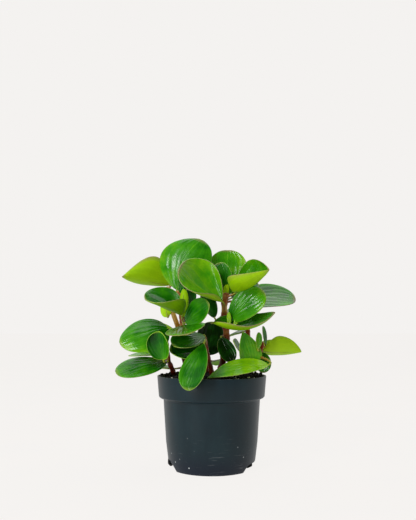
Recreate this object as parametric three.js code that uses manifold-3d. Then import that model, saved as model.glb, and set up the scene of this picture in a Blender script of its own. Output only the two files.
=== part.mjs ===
// A peperomia with cupped, fleshy leaves in a round nursery pot. Millimetres, +Z up.
// The pot's axis is the Z axis, it stands on Z = 0, and its front faces -Y.
import * as THREE from "three";
import { mergeVertices } from "three/addons/utils/BufferGeometryUtils.js";
import Module from "manifold-3d";

const wasm = await Module();
wasm.setup();
const { Manifold, Mesh } = wasm;

// Driving dimensions of the pot
const POT_HEIGHT = 100.5;
const RIM_RADIUS = 60;
const RIM_DROP = 22.5;
const RIM_TAPER = 1.8;
const RIM_ROUND = 0.6;
const LEDGE_ROUND = 1.4;
const FOOT_RADIUS = 46;
const FOOT_HEIGHT = 8.2;
const FOOT_THICKNESS = 2.2;
const WALL = 1.6;
const POT_SIDES = 44;

// The body's outer radius and height at each bend of its wall, from the bottom up
const BODY = [
  [48, 9],
  [50.4, 29],
  [51.7, 51],
  [53.1, 74],
];

// The two notches in the foot lie opposite each other, turned a little from the X axis
const NOTCH_WIDTH = 58;
const NOTCH_NARROWING = 5;
const NOTCH_ROUND = 4;
const NOTCH_TURN = -7.6;
const NOTCH_ROOF = 0.4;

const DRAIN_HOLES = 6;
const DRAIN_RADIUS = 3.5;
const DRAIN_CIRCLE = 32;
const DRAIN_SIDES = 10;

// Soil, and the clear gap kept between pieces that touch
const GAP = 0.3;
const SOIL_EDGE = 98.6;
const SOIL_CROWN = 1.6;
const SOIL_LUMP = 0.9;
const SOIL_WAVES = { short: [4.1, 3.7], long: [7.3, -5.9], longShare: 0.6 };
const SOIL_SIDES = 26;
const SOIL_RINGS = [0.93, 0.78, 0.6, 0.4, 0.2, 0];

// Shoots
const STEM_FOOT = 78;
const STEM_STRAIGHT = 92;
const STEM_STEP = 11;
const STEM_SIDES = 7;
const HOLE_CLEARANCE = 0.6;
const HOLE_SIDES = 10;
const PETIOLE_SIDES = 5;
const TUBE_REFERENCE = [0.02, 1, 0.03];
const PETIOLE_RADIUS = 1.5;
const PETIOLE_THINNING = 0.6;
const PETIOLE_RINGS = 3;
const PETIOLE_START = 0.4;
const PETIOLE_END = 0.35;
const PETIOLE_REACH = 0.12;
const BLADE_THICKNESS = 1;
const NUDGE = 0.002;
const SLIVER = 0.02;
const WELD = 0.001;
const BLADE_FIRST = 0.06;
const BLADE_LAST = 0.97;
const BLADE_GRIDS = [
  { upTo: 12, rows: 4, columns: 2 },
  { upTo: 24, rows: 4, columns: 4 },
  { upTo: 42, rows: 5, columns: 4 },
  { upTo: Infinity, rows: 6, columns: 6 },
];

const LOOKS = {
  pot: { color: 0x2b353b, roughness: 0.45 },
  soil: { color: 0x1b130e, roughness: 1 },
  shoot: { color: 0x3c7a1c, roughness: 0.35 },
};

// A leaf: how far up its stem it grows, where its blade begins and ends, which way its upper
// face looks, and its width. cup is the slope of its margins in degrees, and is larger towards
// the base by fold. bow lifts the middle of the midrib and sway moves it sideways. broad is where
// the blade is widest. A larger start or end draws the outline out there, from round to pointed.
function leaf(at, base, tip, face, width, form = {}) {
  const usual = { cup: 20, fold: 0, bow: 0, sway: 0, broad: 0.56, start: 0.6, end: 0.48 };
  return { at, base, tip, face, width, ...usual, ...form };
}

// Each stem's points run from the soil to its top, with its radius at both ends
const SHOOTS = {
  shoot_upper_left: {
    stem: [[-22, 2, 104], [-27, -4, 125], [-31, -10, 150], [-32, -10, 163], [-35, -2, 182], [-37, 3, 192]],
    radii: [3.6, 2.8],
    leaves: [
      leaf(0.97, [-39, 5, 195], [-12, 14, 252.5], [-0.15, -0.95, 0.3], 61, {
        cup: -18, bow: 5, sway: 6.5, broad: 0.52,
      }),
      leaf(0.66, [-28, -25, 158], [-3, -42, 178], [0, -0.85, 0.5], 29),
      leaf(0.62, [-30, -22, 155], [-24, -74, 146], [-0.2, -0.4, 0.9], 42, { cup: 10 }),
      leaf(0.68, [-33, -15, 167], [-69, -38, 182], [0.25, -0.28, 0.93], 60, {
        cup: 78, fold: 0.8, broad: 0.45, start: 0.45, end: 0.42,
      }),
      leaf(0.95, [-35, 0, 191], [-32, 0, 207], [0, -1, 0], 8),
      leaf(0.72, [-29, -12, 164], [-23, -14, 195], [0.6, -0.75, 0.1], 18, {
        broad: 0.75, start: 1, end: 0.4,
      }),
      leaf(0.7, [-32, -16, 164], [-30, -20, 194], [0.3, 0.9, 0.1], 13, { cup: 70 }),
    ],
  },
  shoot_left_back: {
    stem: [[-28, 14, 104], [-33, 8, 128], [-37, 2, 152], [-43, 4, 169], [-48, 14, 186], [-50, 22, 198]],
    radii: [3.6, 2.6],
    leaves: [
      leaf(0.98, [-50, 35, 203], [-101, 11, 210.5], [-0.1, 0.5, 0.9], 66, {
        cup: 76, fold: 0.2, broad: 0.42, start: 0.65, end: 1.1,
      }),
      leaf(0.72, [-49, 2, 165], [-53, 16, 186], [0.3, 0.9, 0.3], 20),
      leaf(0.03, [-44, 27, 106], [-86, 44, 107], [0, 0, 1], 30),
    ],
  },
  shoot_centre: {
    stem: [[10, 2, 104], [14, -3, 125], [16, -6, 146], [14, -8, 165], [14, -8, 184], [16, -4, 192]],
    radii: [4.1, 3.1],
    leaves: [
      leaf(0.72, [11, -16, 181], [-34, -32, 216.5], [0.33, -0.7, 0.66], 67, {
        cup: 68, fold: 0.8, bow: -5, start: 0.7, end: 0.42,
      }),
      leaf(0.97, [18, 5, 190], [18, 24, 242], [0, -0.9, 0.4], 45),
      leaf(0.95, [15, -2, 188], [8, 2, 225], [-0.3, -0.9, 0.2], 26, { cup: 30 }),
      leaf(0.9, [27, -14, 191], [58, -52, 211.5], [-0.3, -0.38, 0.87], 70, {
        cup: 98, fold: 0.2, bow: -4, broad: 0.42, start: 0.42, end: 0.85,
      }),
      leaf(0.88, [22, 4, 186], [52, 6, 202], [0, -0.5, 0.85], 28),
      leaf(0.85, [29, 0, 182], [92, -5, 184], [0.05, -0.6, 0.8], 48, { cup: 10, bow: 5, broad: 0.45 }),
      leaf(0.6, [20, -22, 162], [55, -34, 190], [-0.1, -0.9, 0.35], 33, { cup: 20, bow: 4, broad: 0.6 }),
      leaf(0.6, [2, -30, 158], [66, -36, 169], [-0.15, -0.38, 0.92], 42, {
        cup: 56, fold: 0.6, bow: -12, broad: 0.46, start: 0.5, end: 0.7,
      }),
      leaf(0.62, [18.5, -27, 154], [18, -27, 169.5], [0, -1, 0], 5),
      leaf(0.62, [23, -27, 154.5], [31, -26, 167], [0, -1, 0.2], 6),
      leaf(0.97, [14, -8, 187], [17, -8, 200], [0, 1, 0], 7),
      leaf(0.55, [3, 0, 164], [-9, 8, 194], [0.3, -0.9, 0.2], 18),
      leaf(0.42, [10, -14, 142], [21, -26, 116], [0.2, -0.9, 0.35], 20),
    ],
  },
  shoot_left_low: {
    stem: [[-42, -8, 104], [-47, -14, 118], [-49, -16, 138], [-49, -18, 148]],
    radii: [2.8, 2.2],
    leaves: [
      leaf(0.97, [-47, -22, 152], [-96, -35, 136], [-0.1, -0.8, 0.6], 46, {
        cup: -20, bow: 4, broad: 0.4, start: 0.36, end: 0.5,
      }),
      leaf(0.5, [-50, -42, 120], [-55, -49, 149], [-0.3, -0.9, 0.25], 32, { cup: 74, start: 0.5 }),
      leaf(0.4, [-48, -20, 116], [-100, -38, 106], [-0.1, -0.55, 0.83], 37, {
        cup: -10, bow: 3, start: 0.7,
      }),
      leaf(0.5, [-52, -4, 124], [-92, 4, 122], [0, -0.1, 1], 34, { cup: 10 }),
    ],
  },
  shoot_centre_low: {
    stem: [[0, -20, 104], [-3, -24, 118], [-6, -26, 132], [-7, -27, 142]],
    radii: [2.8, 1.8],
    leaves: [
      leaf(0.85, [-9, -28, 145], [-39, -50, 134], [0, -0.5, 0.87], 34, { cup: 15 }),
      leaf(0.5, [-9, -30, 125], [-43, -45, 129], [0.1, -0.7, 0.7], 34, { cup: 40 }),
      leaf(0.8, [-8, -50, 137], [-23, -73, 91], [-0.45, -0.85, 0.4], 31, {
        cup: 30, broad: 0.64, start: 0.95,
      }),
    ],
  },
  shoot_right_low: {
    stem: [[34, -8, 104], [43, -12, 114], [52, -12, 126], [55, -10, 136]],
    radii: [2.8, 2],
    leaves: [
      leaf(0.4, [43, -19, 114], [33, -23, 149], [0.3, -0.9, 0.2], 28, {
        cup: 30, broad: 0.22, start: 0.4, end: 1,
      }),
      leaf(0.4, [32, -10, 126], [23, -20, 139], [0, -0.6, 0.8], 18),
      leaf(0.8, [49, -22, 130], [50, -24, 148], [0.3, -0.8, 0.2], 9, { cup: 60 }),
      leaf(0.9, [60, 5, 134], [57, 5, 155], [0.8, -0.5, 0.2], 10),
      leaf(0.8, [55.5, 2, 127], [101, 14, 126], [0, 0.6, 0.8], 42, {
        cup: 60, bow: -1, broad: 0.36, start: 0.95, end: 0.85,
      }),
      leaf(0.6, [59, -35, 114], [-5, -49, 101], [0, -0.5, 0.87], 29, {
        cup: 22, bow: 3, broad: 0.44, end: 1.15,
      }),
      leaf(0.6, [56, -5, 126], [56, -12, 104], [0, -0.9, 0.3], 18),
    ],
  },
  shoot_back_left: {
    stem: [[-26, 30, 104], [-34, 36, 128], [-36, 43, 152], [-33, 46, 176], [-30, 44, 198]],
    radii: [3.2, 2.2],
    leaves: [
      leaf(0.98, [-28, 50, 205], [-25, 76, 245], [0, -0.5, 0.8], 44, { cup: 35 }),
      leaf(0.93, [-38, 48, 203], [-80, 64, 215], [-0.1, 0.35, 0.9], 36, { cup: 40, broad: 0.5 }),
      leaf(0.9, [-23, 48, 201], [5, 72, 222], [0.1, 0.3, 0.95], 38, { cup: 25, bow: 4 }),
      leaf(0.7, [-40, 52, 176], [-74, 72, 188], [0.15, 0.3, 0.95], 34, { cup: 30, broad: 0.5 }),
      leaf(0.5, [-42, 48, 148], [-89, 62, 141], [0.1, 0.45, 0.9], 40, { cup: 25, bow: 4 }),
      leaf(0.35, [-27, 48, 136], [-27, 79, 125], [0, 0.4, 0.9], 34, { cup: 20, bow: 3 }),
    ],
  },
  shoot_back_right: {
    stem: [[34, 28, 104], [40, 33, 128], [42, 38, 152], [38, 42, 174], [34, 42, 194]],
    radii: [3.2, 2.2],
    leaves: [
      leaf(0.97, [32, 48, 200], [28, 76, 236], [0.1, -0.4, 0.9], 42, { cup: 35 }),
      leaf(0.85, [42, 46, 184], [83, 62, 188], [0, 0.4, 0.9], 36, { cup: 20, bow: 4 }),
      leaf(0.8, [32, 50, 180], [5, 66, 160], [-0.3, -0.3, 0.9], 30, { cup: 15 }),
      leaf(0.55, [42, 44, 160], [40, 79, 156], [0, 0.35, 0.9], 42, { cup: 25, bow: 5 }),
      leaf(0.5, [36, 50, 148], [18, 70, 142], [-0.1, -0.3, 1], 26),
      leaf(0.3, [48, 38, 131], [86, 56, 128], [0, 0.4, 0.9], 34, { cup: 30, broad: 0.5 }),
      leaf(0.1, [38, 40, 112], [45, 76, 107], [0, 0.3, 0.95], 37, { cup: 15, bow: 4 }),
    ],
  },
  shoot_back_centre: {
    stem: [[-6, 38, 104], [-7, 41, 114], [-8, 44, 122]],
    radii: [2.6, 2],
    leaves: [
      leaf(0.97, [-5, 44, 121], [3, 47, 160], [0.1, -0.9, -0.2], 38, { broad: 0.5 }),
      leaf(0.9, [-14, 50, 124], [-38, 72, 119], [0, 0.35, 0.95], 30, { bow: 3 }),
      leaf(0.6, [1, 50, 113], [6, 77, 107], [0, 0.3, 0.95], 27, { bow: 3 }),
    ],
  },
};

const vec = (p) => new THREE.Vector3(...p);
const radians = THREE.MathUtils.degToRad;

// A closed solid from its corner points and triangles
function solidFrom(points, triangles) {
  const vertProperties = new Float32Array(points.flatMap((p) => [p.x, p.y, p.z]));
  const triVerts = new Uint32Array(triangles.flat());
  return new Manifold(new Mesh({ numProp: 3, vertProperties, triVerts }));
}

function solidOf(geometry) {
  const bare = new THREE.BufferGeometry();
  bare.setAttribute("position", geometry.getAttribute("position"));
  bare.setIndex(geometry.getIndex());
  const welded = mergeVertices(bare, WELD);
  const vertProperties = new Float32Array(welded.getAttribute("position").array);
  const triVerts = new Uint32Array(welded.getIndex().array);
  return new Manifold(new Mesh({ numProp: 3, vertProperties, triVerts }));
}

function geometryOf(solid) {
  const { numProp, vertProperties, triVerts } = solid.getMesh();
  const corners = new Float32Array((vertProperties.length / numProp) * 3);
  for (let i = 0; i < corners.length / 3; i += 1) {
    corners.set(vertProperties.subarray(i * numProp, i * numProp + 3), i * 3);
  }
  const geometry = new THREE.BufferGeometry();
  geometry.setAttribute("position", new THREE.BufferAttribute(corners, 3));
  geometry.setIndex(new THREE.BufferAttribute(new Uint32Array(triVerts), 1));
  return geometry;
}

// Welds the closest corners and keeps the body without the slivers that this splits off
function largestBody(solid) {
  const bodies = solidOf(geometryOf(solid)).decompose();
  return bodies.sort((a, b) => b.volume() - a.volume())[0];
}

function meshOf(name, solid, look) {
  const geometry = geometryOf(solid);
  geometry.computeVertexNormals();
  const mesh = new THREE.Mesh(geometry, new THREE.MeshStandardMaterial({ ...look, metalness: 0 }));
  mesh.name = name;
  return mesh;
}

// Turns a profile of [radius, height] pairs about the Z axis
function turned(profile, sides) {
  const outline = profile.map(([r, z]) => new THREE.Vector2(r, z));
  return new THREE.LatheGeometry(outline, sides).rotateX(Math.PI / 2);
}

function rod(radius, bottom, top, sides, x, y) {
  const geometry = new THREE.CylinderGeometry(radius, radius, top - bottom, sides).rotateX(Math.PI / 2);
  return solidOf(geometry.translate(x, y, (top + bottom) / 2));
}

// Pot

const rimFoot = POT_HEIGHT - RIM_DROP;
const rimFootRadius = RIM_RADIUS - RIM_TAPER;
const [bodyTopRadius, bodyTop] = BODY.at(-1);

// The pot's inner wall from the middle of its floor up to the ledge under its rim, drawn in by gap
function innerWall(gap) {
  const inset = WALL + gap;
  return [
    [0, FOOT_HEIGHT + inset],
    [BODY[0][0] - inset, FOOT_HEIGHT + inset],
    ...BODY.slice(1, -1).map(([r, z]) => [r - inset, z]),
    [bodyTopRadius - inset, bodyTop + LEDGE_ROUND + gap],
    [rimFootRadius - inset - LEDGE_ROUND, rimFoot + gap],
    [rimFootRadius - inset, rimFoot + LEDGE_ROUND + gap],
  ];
}

function potSolid() {
  const profile = [
    [0, FOOT_HEIGHT],
    [FOOT_RADIUS - FOOT_THICKNESS, FOOT_HEIGHT],
    [FOOT_RADIUS - FOOT_THICKNESS, 0],
    [FOOT_RADIUS, 0],
    [FOOT_RADIUS + 1, FOOT_HEIGHT / 2],
    ...BODY,
    [bodyTopRadius + 1, bodyTop + LEDGE_ROUND],
    [rimFootRadius - LEDGE_ROUND, rimFoot - LEDGE_ROUND],
    [rimFootRadius, rimFoot],
    [RIM_RADIUS, POT_HEIGHT - RIM_ROUND],
    [RIM_RADIUS - RIM_ROUND, POT_HEIGHT],
    [RIM_RADIUS - WALL, POT_HEIGHT],
    ...innerWall(0).reverse(),
  ];
  let pot = solidOf(turned(profile, POT_SIDES)).subtract(notchCutter());
  for (let i = 0; i < DRAIN_HOLES; i += 1) {
    const turn = (i / DRAIN_HOLES) * 2 * Math.PI;
    const x = DRAIN_CIRCLE * Math.cos(turn);
    const y = DRAIN_CIRCLE * Math.sin(turn);
    pot = pot.subtract(rod(DRAIN_RADIUS, 0, 2 * FOOT_HEIGHT, DRAIN_SIDES, x, y));
  }
  return pot;
}

// A bar through both notches, narrower at its rounded top
function notchCutter() {
  const foot = NOTCH_WIDTH / 2;
  const head = foot - NOTCH_NARROWING;
  const top = FOOT_HEIGHT - NOTCH_ROOF;
  const outline = new THREE.Shape();
  outline.moveTo(-foot, -1);
  outline.lineTo(foot, -1);
  outline.lineTo(head + 1, top - NOTCH_ROUND);
  outline.quadraticCurveTo(head, top, head - NOTCH_ROUND, top);
  outline.lineTo(-head + NOTCH_ROUND, top);
  outline.quadraticCurveTo(-head, top, -head - 1, top - NOTCH_ROUND);
  outline.closePath();
  const depth = 4 * RIM_RADIUS;
  const bar = new THREE.ExtrudeGeometry(outline, { depth, bevelEnabled: false, curveSegments: 4 });
  bar.translate(0, 0, -depth / 2);
  bar.rotateX(Math.PI / 2);
  bar.rotateZ(Math.PI / 2 + radians(NOTCH_TURN));
  return solidOf(bar);
}

// Soil

function soilHeight(x, y) {
  const { short, long, longShare } = SOIL_WAVES;
  const r = Math.hypot(x, y) / RIM_RADIUS;
  const shortLumps = Math.sin(x / short[0]) * Math.sin(y / short[1]);
  const lumps = shortLumps + longShare * Math.sin(x / long[0] + y / long[1]);
  return SOIL_EDGE + (SOIL_CROWN + SOIL_LUMP * lumps) * (1 - r ** 6);
}

function soilSolid() {
  const edge = RIM_RADIUS - WALL - GAP - (RIM_TAPER * (POT_HEIGHT - SOIL_EDGE)) / RIM_DROP;
  const rings = SOIL_RINGS.map((share) => [share * edge, SOIL_EDGE]);
  const geometry = turned([...innerWall(GAP), [edge, SOIL_EDGE], ...rings], SOIL_SIDES);
  const place = geometry.getAttribute("position");
  for (let i = 0; i < place.count; i += 1) {
    const [x, y] = [place.getX(i), place.getY(i)];
    const onTop = Math.abs(place.getZ(i) - SOIL_EDGE) < 0.01;
    if (onTop && Math.hypot(x, y) < edge - 1) {
      place.setZ(i, soilHeight(x, y));
    }
  }
  let soil = solidOf(geometry);
  for (const { stem, radii } of Object.values(SHOOTS)) {
    const [x, y] = stem[0];
    const hole = rod(radii[0] + HOLE_CLEARANCE, STEM_FOOT - GAP, POT_HEIGHT + 10, HOLE_SIDES, x, y);
    soil = soil.subtract(hole);
  }
  return soil;
}

// Shoots

// A closed tube along the points, its radius running evenly from the first to the last
function tube(points, radii, sides) {
  const corners = [];
  const triangles = [];
  const last = points.length - 1;
  for (let i = 0; i <= last; i += 1) {
    const ahead = points[Math.min(i + 1, last)].clone().sub(points[Math.max(i - 1, 0)]).normalize();
    const across = new THREE.Vector3(...TUBE_REFERENCE).cross(ahead).normalize();
    const other = ahead.clone().cross(across);
    const radius = THREE.MathUtils.lerp(radii[0], radii[1], i / last);
    for (let k = 0; k < sides; k += 1) {
      const turn = (k / sides) * 2 * Math.PI;
      const out = across.clone().multiplyScalar(Math.cos(turn)).addScaledVector(other, Math.sin(turn));
      corners.push(points[i].clone().addScaledVector(out, radius));
    }
  }
  for (let i = 0; i < last; i += 1) {
    for (let k = 0; k < sides; k += 1) {
      const a = i * sides + k;
      const b = i * sides + ((k + 1) % sides);
      triangles.push([a, b, b + sides], [a, b + sides, a + sides]);
    }
  }
  for (let k = 1; k < sides - 1; k += 1) {
    const top = last * sides;
    triangles.push([0, k + 1, k], [top, top + k, top + k + 1]);
  }
  return solidFrom(corners, triangles);
}

// Half the blade's width at u, as a share of its greatest, which it has at u = broad
function outlineAt(u, { broad, start, end }) {
  if (u < broad) {
    return (1 - ((broad - u) / broad) ** 2) ** start;
  }
  return (1 - ((u - broad) / (1 - broad)) ** 2) ** end;
}

// The directions that a leaf is built along: its length, its upper face and its right margin
function leafAxes({ base, tip, face }) {
  const along = vec(tip).sub(vec(base));
  const length = along.length();
  along.normalize();
  const up = vec(face);
  up.addScaledVector(along, -up.dot(along)).normalize();
  return { along, up, side: up.clone().cross(along), length };
}

// A point midway through the blade, at u along it and v across it, both margins being at 1
function bladePoint(form, axes, u, v) {
  const slope = (form.bow * 4 * (1 - 2 * u)) / axes.length;
  const normal = axes.up.clone().addScaledVector(axes.along, -slope).normalize();
  const half = (form.width / 2) * outlineAt(u, form);
  const bend = radians(form.cup * (1 + form.fold * (1 - 2 * u)));
  const point = vec(form.base).addScaledVector(axes.along, u * axes.length);
  point.addScaledVector(axes.up, form.bow * 4 * u * (1 - u));
  point.addScaledVector(axes.side, form.sway * 4 * u * (1 - u));
  point.addScaledVector(axes.side, (half * Math.sin(bend * v)) / bend);
  return point.addScaledVector(normal, (half * (1 - Math.cos(bend * v))) / bend);
}

function bladeSolid(form) {
  const axes = leafAxes(form);
  const { rows, columns } = BLADE_GRIDS.find(({ upTo }) => form.width <= upTo);
  const uAt = (i) => (1 - Math.cos(Math.PI * THREE.MathUtils.lerp(BLADE_FIRST, BLADE_LAST, i / rows))) / 2;
  const corners = [[], []];
  for (let i = 0; i <= rows; i += 1) {
    for (let j = 0; j <= columns; j += 1) {
      const [u, v] = [uAt(i), (2 * j) / columns - 1];
      const middle = bladePoint(form, axes, u, v);
      const lengthwise = bladePoint(form, axes, u + NUDGE, v).sub(bladePoint(form, axes, u - NUDGE, v));
      const crosswise = bladePoint(form, axes, u, v + NUDGE).sub(bladePoint(form, axes, u, v - NUDGE));
      const normal = lengthwise.cross(crosswise).normalize();
      corners[0].push(middle.clone().addScaledVector(normal, BLADE_THICKNESS / 2));
      corners[1].push(middle.clone().addScaledVector(normal, -BLADE_THICKNESS / 2));
    }
  }
  const under = corners[0].length;
  const at = (i, j) => i * (columns + 1) + j;
  const triangles = [];
  const wall = (a, b) => triangles.push([a, b, b + under], [a, b + under, a + under]);
  for (let i = 0; i < rows; i += 1) {
    for (let j = 0; j < columns; j += 1) {
      const [a, b, c, d] = [at(i, j), at(i + 1, j), at(i + 1, j + 1), at(i, j + 1)];
      triangles.push([a, b, c], [a, c, d]);
      triangles.push([a + under, c + under, b + under], [a + under, d + under, c + under]);
    }
    wall(at(i + 1, 0), at(i, 0));
    wall(at(i, columns), at(i + 1, columns));
  }
  for (let j = 0; j < columns; j += 1) {
    wall(at(0, j), at(0, j + 1));
    wall(at(rows, j + 1), at(rows, j));
  }
  return solidFrom(corners.flat(), triangles);
}

// From inside the stem to a little way under the blade, which it carries
function petioleSolid(form, stemCurve) {
  const axes = leafAxes(form);
  const foot = stemCurve.getPointAt(form.at);
  const ahead = stemCurve.getTangentAt(form.at);
  const base = vec(form.base);
  const reach = base.distanceTo(foot);
  const leaving = base.clone().sub(foot).normalize().addScaledVector(ahead, PETIOLE_END).normalize();
  const start = foot.clone().addScaledVector(leaving, PETIOLE_START * reach);
  const arriving = base.clone().addScaledVector(axes.along, -PETIOLE_END * reach);
  const points = new THREE.CubicBezierCurve3(foot, start, arriving, base).getPoints(PETIOLE_RINGS);
  points.push(bladePoint(form, axes, PETIOLE_REACH, 0).addScaledVector(axes.up, -BLADE_THICKNESS / 2));
  const radius = Math.min(PETIOLE_RADIUS, form.width / 6);
  return tube(points, [radius, PETIOLE_THINNING * radius], PETIOLE_SIDES);
}

function shootSolid({ stem, radii, leaves }) {
  const [x, y] = stem[0];
  const points = [vec([x, y, STEM_FOOT]), vec([x, y, STEM_STRAIGHT]), ...stem.map(vec)];
  const curve = new THREE.CatmullRomCurve3(points, false, "centripetal");
  const above = new THREE.CatmullRomCurve3(stem.map(vec), false, "centripetal");
  const steps = Math.round(curve.getLength() / STEM_STEP);
  let shoot = tube(curve.getSpacedPoints(steps), radii, STEM_SIDES);
  for (const form of leaves) {
    shoot = shoot.add(petioleSolid(form, above));
    shoot = shoot.add(bladeSolid(form));
  }
  return largestBody(shoot.simplify(SLIVER));
}

const group = new THREE.Group();
group.name = "potted_peperomia";
group.add(meshOf("pot", potSolid(), LOOKS.pot));
group.add(meshOf("soil", soilSolid(), LOOKS.soil));
for (const [name, shoot] of Object.entries(SHOOTS)) {
  group.add(meshOf(name, shootSolid(shoot), LOOKS.shoot));
}

export default group;
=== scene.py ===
"""A peperomia in a nursery pot: the pot, the peat, the leafy shoots and a pale studio."""
import math
import random

import bmesh
import bpy
from bpy.props import FloatProperty, FloatVectorProperty, IntProperty, PointerProperty
from mathutils import Euler, Matrix, Vector, noise


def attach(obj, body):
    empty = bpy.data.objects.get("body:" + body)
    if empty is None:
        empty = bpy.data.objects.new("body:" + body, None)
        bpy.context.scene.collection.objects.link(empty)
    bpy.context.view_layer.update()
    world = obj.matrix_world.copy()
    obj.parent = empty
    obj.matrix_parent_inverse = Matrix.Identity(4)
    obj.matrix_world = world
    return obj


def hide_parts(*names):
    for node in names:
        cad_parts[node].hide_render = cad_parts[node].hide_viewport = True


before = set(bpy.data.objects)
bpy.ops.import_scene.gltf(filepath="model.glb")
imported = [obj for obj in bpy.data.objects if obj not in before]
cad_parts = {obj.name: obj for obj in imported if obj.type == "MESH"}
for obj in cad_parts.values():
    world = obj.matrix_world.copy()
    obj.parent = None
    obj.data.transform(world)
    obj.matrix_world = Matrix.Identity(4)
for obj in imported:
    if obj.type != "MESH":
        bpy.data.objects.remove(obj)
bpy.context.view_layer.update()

bl_info = {
    "name": "Potted Peperomia",
    "version": (1, 0, 0),
    "blender": (4, 5, 0),
    "location": "3D View > Sidebar > Peperomia",
    "description": "Builds a peperomia with cupped leaves in a round nursery pot",
    "category": "Object",
}

# Lengths are in millimetres until a piece is finished
MM = 0.001


def linear(hex_colour):
    """The linear colour, with alpha, of an sRGB hex value such as "#2a3539"."""
    parts = [int(hex_colour[i:i + 2], 16) / 255 for i in (1, 3, 5)]
    return tuple(p / 12.92 if p <= 0.04045 else ((p + 0.055) / 1.055) ** 2.4 for p in parts) + (1.0,)


def measure(name, description, value, unit="LENGTH"):
    return FloatProperty(name=name, description=description, default=value, unit=unit)


def colour_property(name, description, hex_colour):
    return FloatVectorProperty(
        name=name, description=description, subtype="COLOR", size=4, min=0, max=1, default=linear(hex_colour),
    )


# Pot

FOOT_HEIGHT = 8.2
FOOT_THICKNESS = 2.2
RIM_DROP = 22.5
RIM_TAPER = 1.8
LEDGE_ROUND = 1.4
BODY = [(48, 9), (50.4, 29), (51.7, 51), (53.1, 74)]
NOTCH_WIDTH = 62
NOTCH_NARROWING = 5
NOTCH_ROUND = 4
NOTCH_TURN = -4
NOTCH_ROOF = 0.4
# How far from the pot's axis, and how far under its foot, the bar that cuts the notches goes
NOTCH_REACH = 150
NOTCH_DEPTH = 2
DRAIN_HOLES = 6
DRAIN_RADIUS = 3.5
DRAIN_CIRCLE = 32
# Bends sharper than this many degrees, further out than this, are rounded
BEND_ANGLE = 9
BEND_RADIUS = 40
BEND_ROUND = 0.55
SHARP_ANGLE = 32
# How far each lug is turned round the pot's axis, in degrees, and how far it is from it
LUGS = [(-30, 45.6), (18, 45.6), (150, 45.6), (196, 46.8)]
LUG_SIZE = (3.4, 11, 6.4)
LUG_DROP = 0.9
LUG_ROUND = 1.2
GAP = 0.3

# Soil

SOIL_EDGE = 98.6
SOIL_CROWN = 1.6
SOIL_LUMP = 0.9
SOIL_RINGS = 26
SOIL_STEPS = 96
SHORT_WAVES = (4.1, 3.7)
LONG_WAVES = (7.3, 5.9)
# How close the bed's lumps lie, and how high they are
LUMPS = [(0.22, 1.5), (0.7, 0.8)]
# The crumbs' radii as shares of the middling one
CRUMB_SIZES = [0.5, 0.7, 0.9, 1.1, 1.7]

# Shoots

STEM_FOOT = 78
STEM_STRAIGHT = 92
STEM_STEP = 1.6
# A node swells the stem by this share over this many mm, and reddens it over more
NODE_SWELL = 0.26
NODE_REACH = 2.2
RED_SHARE = 0.85
RED_REACH = 3.8
# Nodes without a leaf, by their share of the way down the stem
BARE_NODES = [0.3, 0.55, 0.8, 0.95]
PETIOLE_RADIUS = 1.5
PETIOLE_FOOT = 1.12
PETIOLE_THINNING = 0.6
PETIOLE_START = 0.4
PETIOLE_END = 0.35
# Where the midrib under a blade has its rings
MIDRIB = [0.05, 0.12, 0.22, 0.34, 0.48, 0.62, 0.74]
# The side veins' distance apart, and how far they run up the blade, as shares of its half width
VEIN_STEP = 0.27
VEIN_ARCH = 0.45
NUDGE = 0.002


class Leaf:
    """A leaf: its share of the way up the stem, the blade's base, tip and the way that it faces, its width
    and form, its tone from deep green at 0 to yellow green at 1, and its margin from lime at 0 to mauve at 1.
    The tone is partly the leaf's own green and partly painted shade, low for leaves that stand in shadow.
    Its tone rises by fade from base to tip, and by lean from its right side to its left, painting light and
    shade along and across the blade."""

    def __init__(self, at, base, tip, face, width, tone=0.45, edge=0.5, cup=20, fold=0, bow=0, sway=0,
                 broad=0.56, start=0.6, end=0.48, fade=0, lean=0):
        self.at, self.width, self.tone, self.edge = at, width, tone, edge
        self.fade, self.lean = fade, lean
        self.cup, self.fold, self.bow, self.sway = cup, fold, bow, sway
        self.broad, self.start, self.end = broad, start, end
        self.base = Vector(base)
        along = Vector(tip) - self.base
        self.length = along.length
        self.along = along.normalized()
        up = Vector(face)
        self.up = (up - self.along * up.dot(self.along)).normalized()
        self.side = self.up.cross(self.along)

    def outline(self, u):
        """Half the width at u as a share of its greatest, which it has at u = broad."""
        if u < self.broad:
            return (1 - ((self.broad - u) / self.broad) ** 2) ** self.start
        return (1 - ((u - self.broad) / (1 - self.broad)) ** 2) ** self.end

    def point(self, u, v):
        """A point midway through the blade, at u along it and v across it."""
        slope = self.bow * 4 * (1 - 2 * u) / self.length
        normal = (self.up - self.along * slope).normalized()
        half = self.width / 2 * self.outline(u)
        bend = math.radians(self.cup * (1 + self.fold * (1 - 2 * u)))
        middle = self.base + self.along * (u * self.length)
        middle += (self.up * self.bow + self.side * self.sway) * (4 * u * (1 - u))
        across = self.side * (half * math.sin(bend * v) / bend)
        return middle + across + normal * (half * (1 - math.cos(bend * v)) / bend)

    def normal(self, u, v):
        lengthwise = self.point(u + NUDGE, v) - self.point(u - NUDGE, v)
        crosswise = self.point(u, v + NUDGE) - self.point(u, v - NUDGE)
        return lengthwise.cross(crosswise).normalized()


class Shoot:
    """A shoot: its stem's radii at the foot and the top, the points that it goes through, and its leaves."""

    def __init__(self, radii, stem, leaves):
        self.radii, self.stem, self.leaves = radii, stem, leaves


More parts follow.
